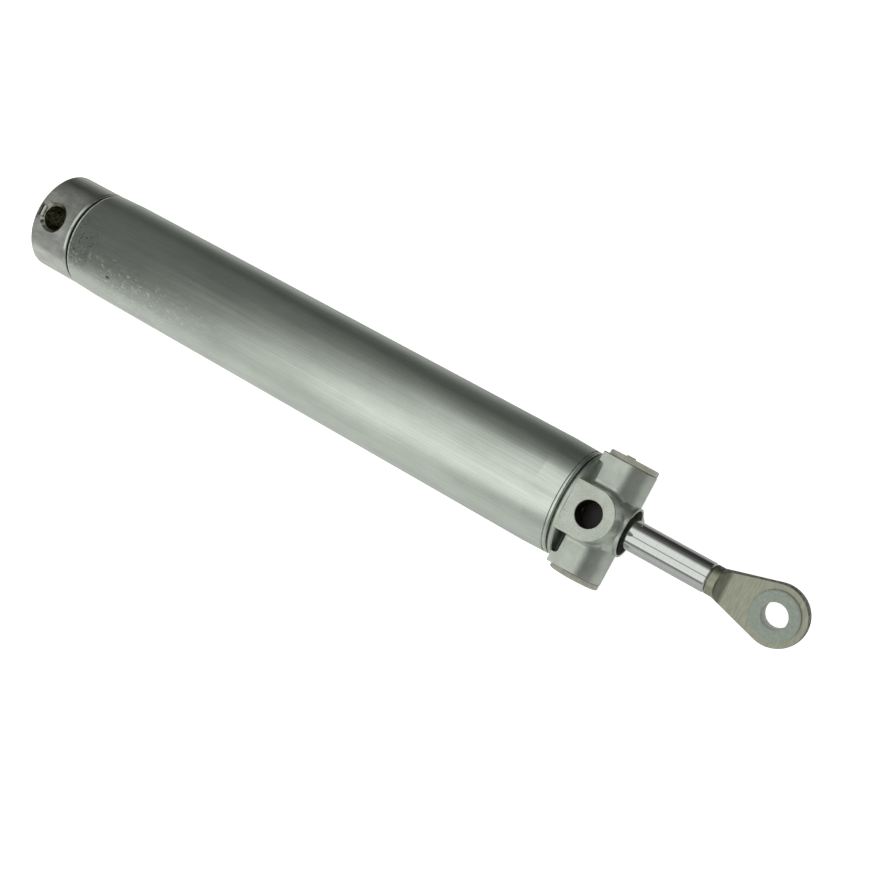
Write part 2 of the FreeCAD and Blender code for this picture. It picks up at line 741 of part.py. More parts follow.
def make_wiper():
    """Rod wiper: a rubber body in the collar with one thin lip forward on the rod."""
    body = new_body("rod_wiper")
    turn(body, "wiper_turned", [
        ("wiper_start", "seal_bore_radius + wiper_relief"),
        ("wiper_start", "seal_radius"),
        ("wiper_start + wiper_body_length", "seal_radius"),
        ("wiper_start + wiper_body_length", "seal_bore_radius + wiper_lip_root"),
        ("wiper_start + wiper_length", "seal_bore_radius + wiper_lip_edge"),
        ("wiper_start + wiper_length", "seal_bore_radius"),
    ])


def make_piston():
    """Turned piston with a groove for a seal near each face and a guide ring between them."""
    body = new_body("piston")
    turn(body, "piston_turned", [
        ("piston_back", "spigot_radius + spigot_fit"),
        ("piston_back", "piston_radius - piston_edge"),
        ("piston_back + piston_edge", "piston_radius"),
        ("rear_seal_start", "piston_radius"),
        ("rear_seal_start", "seal_floor_radius"),
        ("rear_seal_start + piston_seal_width", "seal_floor_radius"),
        ("rear_seal_start + piston_seal_width", "piston_radius"),
        ("guide_ring_start", "piston_radius"),
        ("guide_ring_start", "guide_floor_radius"),
        ("guide_ring_start + guide_ring_width", "guide_floor_radius"),
        ("guide_ring_start + guide_ring_width", "piston_radius"),
        ("front_seal_start", "piston_radius"),
        ("front_seal_start", "seal_floor_radius"),
        ("front_seal_start + piston_seal_width", "seal_floor_radius"),
        ("front_seal_start + piston_seal_width", "piston_radius"),
        ("piston_front - piston_edge", "piston_radius"),
        ("piston_front", "piston_radius - piston_edge"),
        ("piston_front", "spigot_radius + spigot_fit"),
    ])
    turn_groove(body, "spigot_seal_groove", "(piston_back + piston_front - piston_o_ring_section) / 2",
                "piston_o_ring_section", "spigot_radius", "spigot_radius + piston_o_ring_share * piston_o_ring_section")


def make_piston_seal(label, start, lips_forward):
    """U-section piston seal: the lips face the chamber that the seal holds."""
    body = new_body(label)
    open_side = start + " + piston_seal_width - ring_running"
    shut_side = start + " + ring_running"
    if not lips_forward:
        open_side, shut_side = shut_side, open_side
    root = "(%s + %s) / 2" % (open_side, shut_side)
    turn(body, label + "_turned", [
        (shut_side, "seal_floor_radius + ring_running"),
        (shut_side, "ring_outer_radius"),
        (open_side, "ring_outer_radius"),
        (root, "ring_outer_radius - piston_seal_lip"),
        (root, "seal_floor_radius + ring_running + piston_seal_lip"),
        (open_side, "seal_floor_radius + ring_running"),
    ])


def make_nut():
    """Hexagon nut that holds the piston on the rod's spigot."""
    blank = document.addObject("Part::Prism", "nut_blank")
    blank.Polygon = 6
    blank.setExpression("Circumradius", formula("nut_flats / sqrt(3)"))
    blank.setExpression("Height", formula("nut_height"))
    cone = document.addObject("Part::Cone", "nut_crown")
    cone.setExpression("Radius1", formula("nut_flats / 2 - nut_crown"))
    cone.setExpression("Radius2", formula("nut_flats / 2 - nut_crown + nut_height * nut_crown_slope"))
    cone.setExpression("Height", formula("nut_height"))
    crowned = document.addObject("Part::Common", "nut_crowned")
    crowned.Base = blank
    crowned.Tool = cone
    hole = document.addObject("Part::Cylinder", "nut_hole")
    hole.setExpression("Radius", formula("spigot_radius + spigot_fit"))
    hole.setExpression("Height", formula("nut_height"))
    nut = document.addObject("Part::Cut", "piston_nut")
    nut.Base = crowned
    nut.Tool = hole
    nut.Label = "piston_nut"
    nut.Placement = FreeCAD.Placement(Vector(0, 0, 0), FreeCAD.Rotation(Vector(0, 1, 0), 90))
    nut.setExpression("Placement.Base.x", formula("nut_back"))


def make_rod():
    """Chromed rod with a turned-down spigot for the piston and a tapped hole for the eye."""
    body = new_body("piston_rod")
    turn(body, "rod_turned", [
        ("nut_back", "0"),
        ("nut_back", "spigot_radius - spigot_chamfer"),
        ("nut_back + spigot_chamfer", "spigot_radius"),
        ("piston_front", "spigot_radius"),
        ("piston_front", "rod_radius"),
        ("rod_front - rod_end_chamfer", "rod_radius"),
        ("rod_front", "rod_radius - rod_end_chamfer"),
        ("rod_front", "stud_radius + stud_fit"),
        ("rod_front - stud_length - stud_hole_extra", "stud_radius + stud_fit"),
        ("rod_front - stud_length - stud_hole_extra - stud_radius / 2", "0"),
    ])


def make_eye():
    """Rod eye: a turned ball end with a stud, milled flat on both sides by a round cutter and bored."""
    body = new_body("rod_eye")
    profile = new_sketch(body, "eye_profile", "XZ_Plane")
    x0 = size("rod_front") - size("stud_length")
    xs = size("eye_start")
    xf = size("eye_flare")
    xc = size("eye_centre")
    stud = size("stud_radius")
    neck = size("eye_neck_radius")
    ball = size("eye_radius")
    lean = math.asin(ball / math.hypot(xc - xf, neck)) - math.atan2(neck, xc - xf)
    touch = Vector(xc - ball * math.sin(lean), ball * math.cos(lean), 0)
    corners = [Vector(x0, 0, 0), Vector(x0, stud, 0), Vector(xs, stud, 0), Vector(xs, neck, 0),
               Vector(xf, neck, 0), touch]
    for i in range(5):
        profile.addGeometry(Part.LineSegment(corners[i], corners[i + 1]))
    ball_arc = profile.addGeometry(
        Part.ArcOfCircle(Part.Circle(Vector(xc, 0, 0), Vector(0, 0, 1), ball), 0, math.pi / 2 + lean)
    )
    axis_line = profile.addGeometry(Part.LineSegment(Vector(xc + ball, 0, 0), corners[0]))
    for i in range(4):
        profile.addConstraint(Sketcher.Constraint("Coincident", i, 2, i + 1, 1))
    profile.addConstraint(Sketcher.Constraint("Tangent", 4, 2, ball_arc, 2))
    profile.addConstraint(Sketcher.Constraint("Coincident", ball_arc, 1, axis_line, 1))
    profile.addConstraint(Sketcher.Constraint("Coincident", axis_line, 2, 0, 1))
    places = [
        ("rod_front - stud_length", "0"),
        ("rod_front - stud_length", "stud_radius"),
        ("eye_start", "stud_radius"),
        ("eye_start", "eye_neck_radius"),
        ("eye_flare", "eye_neck_radius"),
    ]
    for i, (x, y) in enumerate(places):
        pin_point(profile, i, 1, x, y)
    pin_point(profile, ball_arc, 3, "eye_centre", "0")
    index = profile.addConstraint(Sketcher.Constraint("Radius", ball_arc, ball))
    profile.setExpression("Constraints[%d]" % index, formula("eye_radius"))
    profile.addConstraint(Sketcher.Constraint("PointOnObject", ball_arc, 1, -1))
    blank = body.newObject("PartDesign::Revolution", "eye_blank")
    blank.Profile = profile
    blank.ReferenceAxis = (profile, ["H_Axis"])
    blank.Angle = 360
    for side, sign in (("upper", 1), ("lower", -1)):
        mill_flat(body, side, sign)
    hole = new_sketch(body, "eye_hole_outline", "XY_Plane")
    draw_circle(hole, "eye_centre", "0", "eye_housing_radius")
    pocket(body, "eye_hole", hole, "eye_outer_dia", symmetric=True)
    body.Placement = FreeCAD.Placement(Vector(0, 0, 0), FreeCAD.Rotation(Vector(1, 0, 0), size("eye_roll")))
    body.setExpression("Placement.Rotation.Angle", formula("eye_roll"))


def mill_flat(body, side, sign):
    """Mill one side of the ball down to the eye's thickness, with the cutter's round at the neck."""
    sketch = new_sketch(body, side + "_flat_profile", "XZ_Plane")
    reach = size("eye_radius") + size("cut_margin")
    half = size("eye_half")
    cutter = size("scoop_radius")
    drop = size("eye_neck_radius") - half
    run = math.sqrt(cutter * cutter - (cutter - drop) ** 2)
    xs = size("eye_flare") + size("eye_flat_start")
    x1 = xs + run
    x2 = size("eye_centre") + reach
    centre = Vector(x1, sign * (half + cutter), 0)
    foot = Vector(x1, sign * half, 0)
    if sign > 0:
        arc = Part.ArcOfCircle(Part.Circle(centre, Vector(0, 0, 1), cutter), math.pi, 1.5 * math.pi)
    else:
        arc = Part.ArcOfCircle(Part.Circle(centre, Vector(0, 0, 1), cutter), 0.5 * math.pi, math.pi)
    left = Vector(x1 - cutter, sign * (half + cutter), 0)
    top = sign * (half + cutter + reach)
    bend = sketch.addGeometry(arc)
    floor = sketch.addGeometry(Part.LineSegment(foot, Vector(x2, sign * half, 0)))
    far = sketch.addGeometry(Part.LineSegment(Vector(x2, sign * half, 0), Vector(x2, top, 0)))
    back = sketch.addGeometry(Part.LineSegment(Vector(x2, top, 0), Vector(left.x, top, 0)))
    rise = sketch.addGeometry(Part.LineSegment(Vector(left.x, top, 0), left))
    ends = (1, 2) if sign > 0 else (2, 1)
    sketch.addConstraint(Sketcher.Constraint("Tangent", bend, ends[1], floor, 1))
    sketch.addConstraint(Sketcher.Constraint("Coincident", floor, 2, far, 1))
    sketch.addConstraint(Sketcher.Constraint("Coincident", far, 2, back, 1))
    sketch.addConstraint(Sketcher.Constraint("Coincident", back, 2, rise, 1))
    sketch.addConstraint(Sketcher.Constraint("Tangent", rise, 2, bend, ends[0]))
    for line in (floor, back):
        sketch.addConstraint(Sketcher.Constraint("Horizontal", line))
    for line in (far, rise):
        sketch.addConstraint(Sketcher.Constraint("Vertical", line))
    run_rule = "sqrt(scoop_radius ^ 2 - (scoop_radius - eye_neck_radius + eye_half) ^ 2)"
    height = "(eye_half + scoop_radius)"
    peak = "(eye_half + scoop_radius + eye_radius + cut_margin)"
    pin_point(sketch, bend, 3, "eye_flare + eye_flat_start + " + run_rule, height if sign > 0 else "-" + height)
    index = sketch.addConstraint(Sketcher.Constraint("Radius", bend, cutter))
    sketch.setExpression("Constraints[%d]" % index, formula("scoop_radius"))
    pin_point(sketch, far, 2, "eye_centre + eye_radius + cut_margin", peak if sign > 0 else "-" + peak)
    pocket(body, side + "_flat", sketch, "eye_outer_dia + 2 * cut_margin", symmetric=True)


def make_flanged_bush(label, points, lift, turn_about_rod):
    """A flanged plain bush, turned upright about its own axis and laid in its hole."""
    body = new_body(label)
    sketch = new_sketch(body, label + "_profile", "XZ_Plane", shift=lift)
    draw_outline(sketch, points)
    feature = body.newObject("PartDesign::Revolution", label + "_turned")
    feature.Profile = sketch
    feature.ReferenceAxis = (sketch, ["V_Axis"])
    feature.Angle = 360
    body.Placement = FreeCAD.Placement(Vector(0, 0, 0), FreeCAD.Rotation(Vector(1, 0, 0), turn_about_rod))
    return body


def make_trunnion_bush(label, turn_about_rod):
    """Moulded bush in a side arm, with a small anti-turn key on its flange."""
    body = make_flanged_bush(label, [
        ("trunnion_bore / 2", "trunnion_bush_floor"),
        ("trunnion_housing_radius", "trunnion_bush_floor"),
        ("trunnion_housing_radius", "arm_reach"),
        ("trunnion_flange_dia / 2", "arm_reach"),
        ("trunnion_flange_dia / 2", "arm_reach + trunnion_flange - trunnion_flange_edge"),
        ("trunnion_flange_dia / 2 - trunnion_flange_edge", "arm_reach + trunnion_flange"),
        ("trunnion_bore / 2", "arm_reach + trunnion_flange"),
    ], "head_axis", turn_about_rod)
    key = new_sketch(body, label + "_key_outline", "XY_Plane", lift="arm_reach")
    draw_circle(key, "head_axis", "-trunnion_key_offset", "trunnion_key_radius")
    pad(body, label + "_key", key, "trunnion_flange + trunnion_key_height")


def make_eye_bush(label, turn_about_rod):
    """One half of the eye's bearing: two alike are pressed in from the two sides."""
    make_flanged_bush(label, [
        ("eye_bore / 2", "eye_bush_parting / 2"),
        ("eye_housing_radius", "eye_bush_parting / 2"),
        ("eye_housing_radius", "eye_half"),
        ("eye_flange_dia / 2", "eye_half"),
        ("eye_flange_dia / 2", "eye_half + eye_flange - eye_flange_edge"),
        ("eye_flange_dia / 2 - eye_flange_edge", "eye_half + eye_flange"),
        ("eye_bore / 2", "eye_half + eye_flange"),
    ], "eye_centre", turn_about_rod)


# Barrel
make_tube()
make_cap()
make_port_clip()
make_o_ring("cap_o_ring", "cap_groove_start + ring_fit + o_ring_section / 2", "static_groove_radius", "bore_radius")
make_ring("cap_backup_ring", "cap_groove_start + ring_fit + o_ring_section", "backup_ring_width",
          "static_groove_radius + ring_fit", "bore_radius - ring_fit")
make_lock_wire("cap_lock_wire", "cap_wire_station")
make_head()
make_o_ring("head_o_ring", "head_groove_start + ring_fit + o_ring_section / 2", "static_groove_radius", "bore_radius")
make_ring("head_backup_ring", "head_groove_start + ring_fit + o_ring_section", "backup_ring_width",
          "static_groove_radius + ring_fit", "bore_radius - ring_fit")
make_lock_wire("head_lock_wire", "head_wire_station")
make_ring("head_spacer_ring", "tube_end", "spacer_thickness", "plug_radius + ring_fit", "tube_radius - spacer_inset")

# Rod bearing and seals in the head
make_ring("rod_guide_bush", "head_plug_end", "guide_bush_length", "rod_radius + rod_clearance",
          "guide_housing_radius")
make_ring("seal_washer", "seal_seat", "seal_washer_thickness", "rod_radius + washer_clearance", "seal_radius")
make_rod_seal()
make_ring("seal_retainer", "retainer_start", "retainer_thickness", "rod_radius + washer_clearance", "seal_radius")
make_ring("seal_circlip", "circlip_start", "circlip_thickness",
          "seal_housing_radius + circlip_depth - circlip_width", "seal_housing_radius + circlip_depth",
          "360 - circlip_gap_angle")
make_wiper()
make_trunnion_bush("trunnion_bush_left", -90)
make_trunnion_bush("trunnion_bush_right", 90)

# Rings that slide with the piston
make_piston_seal("piston_seal_rear", "rear_seal_start", False)
make_piston_seal("piston_seal_front", "front_seal_start", True)
make_ring("piston_guide_ring", "guide_ring_start + ring_running", "guide_ring_width - 2 * ring_running",
          "guide_floor_radius + ring_running", "ring_outer_radius", "360 - guide_ring_gap_angle")

# Piston, rod and eye
make_piston()
make_o_ring("piston_o_ring", "(piston_back + piston_front) / 2", "spigot_radius",
            "spigot_radius + piston_o_ring_share * piston_o_ring_section")
make_nut()
make_rod()
make_eye()
make_eye_bush("eye_bush_upper", size("eye_roll"))
make_eye_bush("eye_bush_lower", HALF_TURN + size("eye_roll"))
document.recompute()


def kept_parts():
    """The objects that are pieces of the cylinder, and not steps towards one."""
    steps = ("nut_blank", "nut_crown", "nut_crowned", "nut_hole")
    kinds = ("PartDesign::Body", "Part::Torus", "Part::Cut")
    return [item for item in document.Objects if item.TypeId in kinds and item.Name not in steps]


def check_document():
    """Stop if any object failed, if a cut removed nothing, or if a piece isn't one valid solid."""
    faults = []
    for item in document.Objects:
        if "Invalid" in item.State or "Error" in item.State:
            faults.append(item.Name + " failed")
        elif hasattr(item, "Shape") and item.TypeId.startswith("PartDesign::") and item.Shape.isNull():
            faults.append(item.Name + " is empty")
    if faults:
        raise RuntimeError("; ".join(faults))
    for item in document.Objects:
        if item.TypeId in ("PartDesign::Pocket", "PartDesign::Groove"):
            if item.BaseFeature.Shape.Volume - item.Shape.Volume < 1e-4:
                faults.append(item.Name + " cuts nothing")
    if faults:
        raise RuntimeError("; ".join(faults))
    for item in kept_parts():
        if item.Shape.isNull() or not item.Shape.isValid():
            faults.append(item.Label + " has no valid shape")
        elif len(item.Shape.Solids) != 1:
            faults.append("%s has %d solids" % (item.Label, len(item.Shape.Solids)))
    if faults:
        raise RuntimeError("; ".join(faults))


check_document()
os.makedirs("parts", exist_ok=True)
for item in kept_parts():
    item.Shape.exportStep("parts/%s.step" % item.Label)
print("%d pieces, stroke %.1f mm" % (len(kept_parts()), size("stroke")))
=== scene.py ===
import bpy
from mathutils import Matrix, Vector

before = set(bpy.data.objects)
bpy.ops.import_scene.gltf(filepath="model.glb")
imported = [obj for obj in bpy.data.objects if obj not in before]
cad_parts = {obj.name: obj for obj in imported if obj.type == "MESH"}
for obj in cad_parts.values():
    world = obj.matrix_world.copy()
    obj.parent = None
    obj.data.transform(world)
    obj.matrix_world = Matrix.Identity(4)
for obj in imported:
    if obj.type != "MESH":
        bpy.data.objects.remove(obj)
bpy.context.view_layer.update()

# Camera
# It stands high over the rod end, a little towards the left trunnion, and looks down on the cylinder.
camera_data = bpy.data.cameras.new("camera")
camera_data.sensor_width = 36
camera_data.lens = 64.0
camera_data.clip_start = 0.01
camera_data.clip_end = 20
camera = bpy.data.objects.new("camera", camera_data)
bpy.context.collection.objects.link(camera)
camera_right = Vector((0.80605, 0.46645, -0.36429))
camera_up = Vector((-0.44882, 0.88299, 0.13752))
camera_back = Vector((0.38581, 0.05266, 0.92108))
camera_place = Vector((0.36185, 0.0237, 0.4607))
camera_turn = Matrix((camera_right, camera_up, camera_back)).transposed().to_4x4()
camera.matrix_world = Matrix.Translation(camera_place) @ camera_turn
bpy.context.scene.camera = camera

# Tube
# Drawn aluminium, satin, with fine lines along its length from the drawing die. Its ends are rolled in over
# the cap and the head. Handling has left a deep nick, dark smudges beside the cap and pale specks.


def linear(hex_colour):
    """An sRGB hex colour as linear numbers, for a colour socket."""
    parts = [int(hex_colour[i:i + 2], 16) / 255 for i in (1, 3, 5)]
    return [c / 12.92 if c <= 0.04045 else ((c + 0.055) / 1.055) ** 2.4 for c in parts] + [1.0]


def add_node(tree, kind, settings, inputs):
    """One node with its settings; an input is a number, a colour or another node's output."""
    node = tree.nodes.new(kind)
    for field, value in settings.items():
        setattr(node, field, value)
    for name, value in inputs.items():
        if isinstance(value, bpy.types.NodeSocket):
            tree.links.new(value, node.inputs[name])
        else:
            node.inputs[name].default_value = value
    return node


def start_material(name, metallic, roughness):
    """A material with its shader, and the place on the piece in millimetres."""
    material = bpy.data.materials.new(name)
    material.use_nodes = True
    tree = material.node_tree
    shader = tree.nodes["Principled BSDF"]
    shader.inputs["Metallic"].default_value = metallic
    shader.inputs["Roughness"].default_value = roughness
    place = add_node(tree, "ShaderNodeTexCoord", {}, {}).outputs["Object"]
    scaled = add_node(tree, "ShaderNodeMapping", {}, {"Vector": place, "Scale": (1000, 1000, 1000)})
    return material, tree, shader, scaled.outputs[0]


def noise(tree, place, spacing, detail, rough=0.5):
    """Soft random variation; spacing is its size in millimetres along x, y and z."""
    scale = tuple(1 / length for length in spacing)
    spread = add_node(tree, "ShaderNodeMapping", {}, {"Vector": place, "Scale": scale})
    inputs = {"Vector": spread.outputs[0], "Scale": 1.0, "Detail": detail, "Roughness": rough}
    return add_node(tree, "ShaderNodeTexNoise", {}, inputs).outputs[0]


def dots(tree, place, density):
    """Distance from the nearest of many scattered points, in shares of their spacing."""
    inputs = {"Vector": place, "Scale": density, "Randomness": 1.0}
    return add_node(tree, "ShaderNodeTexVoronoi", {}, inputs).outputs["Distance"]


def between(tree, value, low, high, first, second):
    """A value from first to second while the given one goes from low to high, and held outside."""
    inputs = {0: value, 1: low, 2: high, 3: first, 4: second}
    return add_node(tree, "ShaderNodeMapRange", {}, inputs).outputs[0]


def blend_colours(tree, amount, first, second):
    """The first colour where the amount is 0, and the second where it is 1."""
    inputs = {0: amount, 6: first, 7: second}
    return add_node(tree, "ShaderNodeMix", {"data_type": "RGBA"}, inputs).outputs[2]


def shade_between(tree, pattern, low, high, dark, light):
    """A colour from dark to light while the pattern goes from low to high."""
    return blend_colours(tree, between(tree, pattern, low, high, 0, 1), linear(dark), linear(light))


def calculate(tree, operation, first, second=0.0):
    """One operation on two numbers, or on the first alone."""
    return add_node(tree, "ShaderNodeMath", {"operation": operation}, {0: first, 1: second}).outputs[0]


def multiply(tree, *factors):
    """The product of all given numbers."""
    product = factors[0]
    for factor in factors[1:]:
        product = calculate(tree, "MULTIPLY", product, factor)
    return product


def mix(tree, first, share, second):
    """A share of the first number and the rest of the second."""
    return calculate(tree, "ADD", multiply(tree, first, share), multiply(tree, second, 1 - share))


def vector(tree, operation, inputs, output=0):
    """One operation on vectors."""
    return add_node(tree, "ShaderNodeVectorMath", {"operation": operation}, inputs).outputs[output]


def split(tree, place):
    """The x, y and z of a place."""
    return tuple(add_node(tree, "ShaderNodeSeparateXYZ", {}, {0: place}).outputs)


def distance(tree, place, point, weights=(1, 1, 1)):
    """How far the place lies from a point in millimetres, with each axis counted by its weight."""
    weighted = tuple(length * weight for length, weight in zip(point, weights))
    flat = vector(tree, "MULTIPLY", {0: place, 1: weights})
    return vector(tree, "DISTANCE", {0: flat, 1: weighted}, "Value")


def set_bump(tree, shader, height, depth, normal=None):
    """Relief of that depth in millimetres, from a height between 0 and 1, on the given normal if any."""
    inputs = {"Height": height, "Distance": depth / 1000, "Strength": 1.0}
    if normal:
        inputs["Normal"] = normal
    bump = add_node(tree, "ShaderNodeBump", {}, inputs)
    tree.links.new(bump.outputs[0], shader.inputs["Normal"])


def turned_normal(tree, place):
    """The exact normal of a wall turned about X, where the mesh has flat facets beside its seam."""
    facing = add_node(tree, "ShaderNodeTexCoord", {}, {}).outputs["Normal"]
    spoke = vector(tree, "NORMALIZE", {0: vector(tree, "MULTIPLY", {0: place, 1: (0, 1, 1)})})
    lean = vector(tree, "DOT_PRODUCT", {0: facing, 1: spoke}, "Value")
    radial = vector(tree, "SCALE", {0: spoke, "Scale": lean})
    lengthways = vector(tree, "MULTIPLY", {0: facing, 1: (1, 0, 0)})
    both = vector(tree, "ADD", {0: lengthways, 1: radial})
    spaces = {"vector_type": "NORMAL", "convert_from": "OBJECT", "convert_to": "WORLD"}
    turned = add_node(tree, "ShaderNodeVectorTransform", spaces, {0: both}).outputs[0]
    return vector(tree, "NORMALIZE", {0: turned})


def brush(tree, shader, strength, turn):
    """Fine lines that spread reflections across them: along X at turn 0, round X at a quarter turn."""
    shader.inputs["Anisotropic"].default_value = strength
    shader.inputs["Anisotropic Rotation"].default_value = turn
    around = add_node(tree, "ShaderNodeTangent", {"direction_type": "RADIAL", "axis": "X"}, {})
    tree.links.new(around.outputs[0], shader.inputs["Tangent"])


def finish_nodes(material, *names):
    """Give pieces of the frame their finished material."""
    for name in names:
        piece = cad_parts[name]
        for index in range(len(piece.data.materials)):
            piece.data.materials[index] = material


tube_lip_end = 19.1
smudged_place = (22, -3, 17.5)
nick_place = (38.5, -9.25, 15.3)
drawn, tree, shader, place = start_material("drawn_aluminium", 1.0, 0.22)
brush(tree, shader, 0.9, 0.0)
place_x, place_y = split(tree, place)[:2]
die_lines = noise(tree, place, (60, 0.35, 0.35), 5, 0.65)
broad_lines = noise(tree, place, (140, 2.4, 2.4), 3)
clouds = noise(tree, place, (16, 7, 7), 4)
metal = shade_between(tree, mix(tree, die_lines, 0.55, clouds), 0.36, 0.64, "#D6DDD3", "#ECF3E9")
worn = between(tree, distance(tree, place, smudged_place), 4, 11, 1, 0)
speck = between(tree, dots(tree, place, 0.55), 0.1, 0.32, 1, 0)
sparse = between(tree, noise(tree, place, (3, 2, 2), 2), 0.46, 0.54, 0, 1)
smudge = between(tree, noise(tree, place, (1.6, 1.1, 1.1), 5, 0.7), 0.53, 0.64, 0, 0.95)
nick = between(tree, distance(tree, place, nick_place, (1, 2, 1)), 0.5, 1.3, 1, 0)
dark_mark = calculate(tree, "MAXIMUM", multiply(tree, speck, sparse, worn), nick)
dark_mark = calculate(tree, "MAXIMUM", dark_mark, multiply(tree, smudge, worn))
metal = blend_colours(tree, multiply(tree, dark_mark, 0.75), metal, linear("#3A3D37"))
dust = between(tree, noise(tree, place, (1.5, 1.0, 1.0), 4, 0.65), 0.54, 0.66, 0, 0.35)
near_cap = between(tree, place_x, 60, 110, 1, 0)
near_side = between(tree, place_y, -6, -1, 1, 0)
dust = multiply(tree, dust, near_cap, near_side)
metal = blend_colours(tree, dust, metal, linear("#FFFFFF"))
bare = between(tree, place_x, tube_lip_end, tube_lip_end + 0.5, 0.55, 1)
tree.links.new(calculate(tree, "SUBTRACT", bare, dust), shader.inputs["Metallic"])
tree.links.new(metal, shader.inputs["Base Color"])
tree.links.new(between(tree, broad_lines, 0.3, 0.7, 0.19, 0.26), shader.inputs["Roughness"])
relief = calculate(tree, "SUBTRACT", die_lines, dark_mark)
set_bump(tree, shader, relief, 0.01, turned_normal(tree, place))
finish_nodes(drawn, "cylinder_tube")

# End cap
# Turned from aluminium bar, with a bevelled rim and the stepped hole of the rear port bored into its side.
# The lathe leaves fine rings round the axis. The port's lead-in and bore are painted dark as shade, with
# painted light on their -X side: bright highlights on the lead-in beside the clip, a yellowish bore wall.
rear_port_place = (7.9, 0, 0)
port_radius = 4.35
lead_in_radius = 5.55
cap_front = 17.5
turned, tree, shader, place = start_material("turned_aluminium", 1.0, 0.28)
brush(tree, shader, 0.6, 0.25)
place_x, _, place_z = split(tree, place)
radius = vector(tree, "LENGTH", {0: vector(tree, "MULTIPLY", {0: place, 1: (0, 1, 1)})}, "Value")
station = add_node(tree, "ShaderNodeCombineXYZ", {}, {0: place_x, 1: radius, 2: 0.0}).outputs[0]
rings = noise(tree, station, (0.22, 0.22, 1), 3, 0.6)
clouds = noise(tree, place, (6, 4, 4), 4)
metal = shade_between(tree, clouds, 0.35, 0.65, "#D2D5CE", "#ECEEE8")
port_reach = distance(tree, place, rear_port_place, (1, 1, 0))
upper_side = between(tree, place_z, 4, 5, 0, 1)
lead_in = between(tree, port_reach, lead_in_radius - 0.1, lead_in_radius + 0.05, 0.8, 0)
lead_in = multiply(tree, lead_in, upper_side)
# Painted shade and highlight: the upper lead-in is painted in dark olive patches as shade, and its -X side in
# bright, less metallic patches as a painted highlight beside the clip.
lead_in_mottle = noise(tree, place, (1.2, 1.2, 1.2), 4)
lead_in_painted_light = shade_between(tree, lead_in_mottle, 0.35, 0.65, "#57543F", "#9A977C")
painted_highlight_side = multiply(tree, between(tree, place_x, 4.0, 5.5, 1, 0), between(tree, lead_in_mottle, 0.42, 0.5, 0, 1))
lead_in_painted_light = blend_colours(tree, painted_highlight_side, lead_in_painted_light, linear("#F2F0DC"))
metal = blend_colours(tree, lead_in, metal, lead_in_painted_light)
# Painted shade and light: the port's bore is painted yellowish on its -X wall as painted light, and dark
# brown-black further in as painted shade.
hole = between(tree, port_reach, port_radius - 0.05, port_radius + 0.07, 0.9, 0)
hole = multiply(tree, hole, upper_side)
metal = blend_colours(tree, hole, metal, shade_between(tree, place_x, 5.0, 8.5, "#A09A60", "#17150D"))
joint_shadow = between(tree, place_x, cap_front, cap_front + 0.1, 0, 0.8)
metal = blend_colours(tree, joint_shadow, metal, linear("#3F423C"))
bright_lip = multiply(tree, lead_in, painted_highlight_side, calculate(tree, "SUBTRACT", 0.9, hole))
tree.links.new(between(tree, bright_lip, 0, 1, 1, 0.3), shader.inputs["Metallic"])
tree.links.new(metal, shader.inputs["Base Color"])
tree.links.new(between(tree, clouds, 0.3, 0.7, 0.22, 0.3), shader.inputs["Roughness"])
set_bump(tree, shader, rings, 0.004)
finish_nodes(turned, "end_cap", "piston")

# Clip at the rear port
# Spring-steel strip, bright on its bend, which keeps the hose end from sliding out of the port. The locking
# wires and the circlip inside are of the same steel.
spring, tree, shader, place = start_material("spring_steel", 0.55, 0.3)
streaks = noise(tree, place, (0.15, 1.5, 0.15), 3)
metal = shade_between(tree, streaks, 0.3, 0.7, "#E6E4DA", "#FAF9F2")
tree.links.new(metal, shader.inputs["Base Color"])
set_bump(tree, shader, streaks, 0.004)
finish_nodes(spring, "rear_port_clip", "cap_lock_wire", "head_lock_wire", "seal_circlip")

# Cross head
# Pressure die-cast aluminium with a slightly grainy skin. The port face and the collar's front are milled and
# show small casting pores. The core slots beside the flange are painted dark as shade, darker on the -Y side,
# and the front port's bore is painted dark brown as shade.
head_axis_place = (232, 0, 0)
port_face_height = 17.93
collar_front = 240.9
flange_front = 224.1
slot_front = 226.0
slot_half_height = 8.1
slot_outer_end = 15.7
cast, tree, shader, place = start_material("cast_aluminium", 1.0, 0.37)
place_x, place_y, place_z = split(tree, place)
grain = noise(tree, place, (0.5, 0.5, 0.5), 5, 0.6)
clouds = noise(tree, place, (4, 4, 4), 4)
skin = shade_between(tree, clouds, 0.35, 0.65, "#D3DACF", "#E4EADF")
port_face = between(tree, place_z, port_face_height, port_face_height + 0.04, 0, 1)
collar_face = between(tree, place_x, collar_front, collar_front + 0.06, 0, 1)
milled = calculate(tree, "MAXIMUM", port_face, collar_face)
pore = between(tree, dots(tree, place, 0.75), 0.05, 0.11, 1, 0)
pore = multiply(tree, pore, between(tree, noise(tree, place, (3, 3, 3), 1), 0.5, 0.54, 0, 1))
milled_colour = shade_between(tree, mix(tree, grain, 0.5, clouds), 0.33, 0.67, "#CBD2C4", "#F0F4EA")
milled_colour = blend_colours(tree, multiply(tree, pore, 0.8), milled_colour, linear("#5A5A50"))
metal = blend_colours(tree, milled, skin, milled_colour)
# Painted shade: the front port's bore under the milled face is painted dark brown and not metallic.
below_face = multiply(tree, between(tree, place_z, 17.6, 17.7, 1, 0), between(tree, place_z, 4, 5, 0, 1))
port_reach = distance(tree, place, head_axis_place, (1, 1, 0))
hole = between(tree, port_reach, port_radius + 0.03, port_radius + 0.07, 1, 0)
hole = multiply(tree, hole, below_face)
metal = blend_colours(tree, hole, metal, linear("#1A0F0C"))
